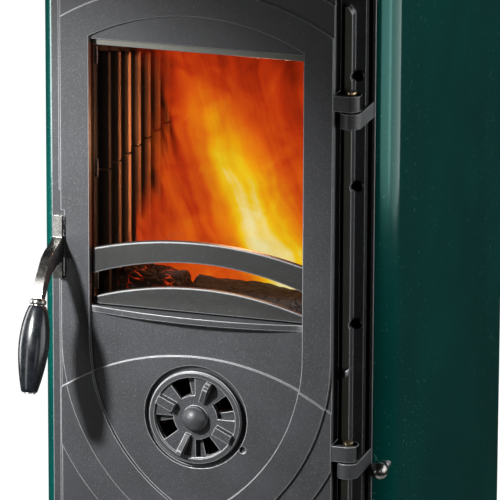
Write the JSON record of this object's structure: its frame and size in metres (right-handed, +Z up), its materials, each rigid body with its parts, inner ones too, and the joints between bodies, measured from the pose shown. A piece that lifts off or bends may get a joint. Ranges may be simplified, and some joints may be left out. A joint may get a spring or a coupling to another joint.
{
  "type": "wood burning stove",
  "caption": "Upright cast-iron wood burning stove with enamelled side panels, an arched glass door, a round air register and a lift-up door handle.",
  "frame": {"origin": "on the floor under the body's centre line, 250 mm behind the door's front face", "axes": "+Z up, the door faces -Y, the door's hinge is on the +X side"},
  "size_m": [0.43, 0.6587, 0.966],
  "materials": {
    "door_iron": "sand cast, heat-resistant charcoal paint",
    "body_iron": "sand cast, matt black paint",
    "enamel": "vitreous enamel, deep green, gloss",
    "sheet_steel": "matt black stove paint",
    "bolt_black": "black oxide",
    "zinc_steel": "zinc plated",
    "hinge_steel": "turned",
    "brass": "turned",
    "vermiculite": "pressed board, sooted",
    "glass": "ceramic glass, clear",
    "rope": "knitted glass fibre",
    "chrome": "polished",
    "bakelite": "gloss black"
  },
  "bodies": {
    "stove": {"hinge_bracket_upper": "door_iron", "hinge_bracket_lower": "door_iron", "front_frame": "door_iron", "seal_land": "door_iron", "cheek_left": "door_iron", "cheek_right": "door_iron", "base_plate": "body_iron", "plinth_skirt": "body_iron", "hearth_deck": "body_iron", "wall_left": "body_iron", "wall_right": "body_iron", "wall_back": "body_iron", "crown_plate": "body_iron", "liner_left": "body_iron", "liner_right": "body_iron", "liner_back": "body_iron", "grate_carrier": "body_iron", "fire_grate": "body_iron", "log_retainer": "body_iron", "pan_rails": "body_iron", "top_plate": "body_iron", "flue_collar": "body_iron", "side_panel_left": "enamel", "side_panel_right": "enamel", "rear_shield": "sheet_steel", "panel_spacers": "sheet_steel", "top_supports": "sheet_steel", "ash_pan": "sheet_steel", "ash_pan_handle": "sheet_steel", "frame_bolts": "bolt_black", "levelling_bolts": "zinc_steel", "collar_bolts": "zinc_steel", "latch_striker": "zinc_steel", "spring_clip": "zinc_steel", "air_rod_bush": "zinc_steel", "hinge_pins": "hinge_steel", "hinge_washers": "brass", "baffle_plate": "vermiculite"},
    "door": {"door_casting": "door_iron", "door_glass": "glass", "glass_gasket": "rope", "glass_clips": "zinc_steel", "glass_clip_screws": "zinc_steel", "door_rope_seal": "rope", "window_bar": "door_iron", "window_lip": "door_iron", "window_head_strip": "door_iron", "inner_shield": "body_iron", "shield_screws": "zinc_steel", "register_stud": "zinc_steel", "handle_pivot": "zinc_steel"},
    "handle": {"handle_lever": "chrome", "handle_ferrule": "chrome", "handle_grip": "bakelite", "grip_spindle": "zinc_steel"},
    "register": {"register_disc": "door_iron", "register_cap": "door_iron"},
    "air_control": {"air_rod": "zinc_steel", "air_knob": "chrome", "air_slide": "sheet_steel"}
  },
  "joints": [
    {"name": "door_hinge", "type": "hinge", "parent": "stove", "child": "door", "pos_m": [0.174, -0.237, 0.53], "axis": [0, 0, 1], "range_deg": [0, 100]},
    {"name": "handle_lift", "type": "hinge", "parent": "door", "child": "handle", "pos_m": [-0.159, -0.238, 0.512], "axis": [-1, 0, 0], "range_deg": [0, 38]},
    {"name": "register_turn", "type": "hinge", "parent": "door", "child": "register", "pos_m": [0, -0.246, 0.329], "axis": [0, -1, 0], "range_deg": [-33, 12]},
    {"name": "air_rod_slide", "type": "slide", "parent": "stove", "child": "air_control", "axis": [0, -1, 0], "range_m": [0, 0.04]}
  ]
}
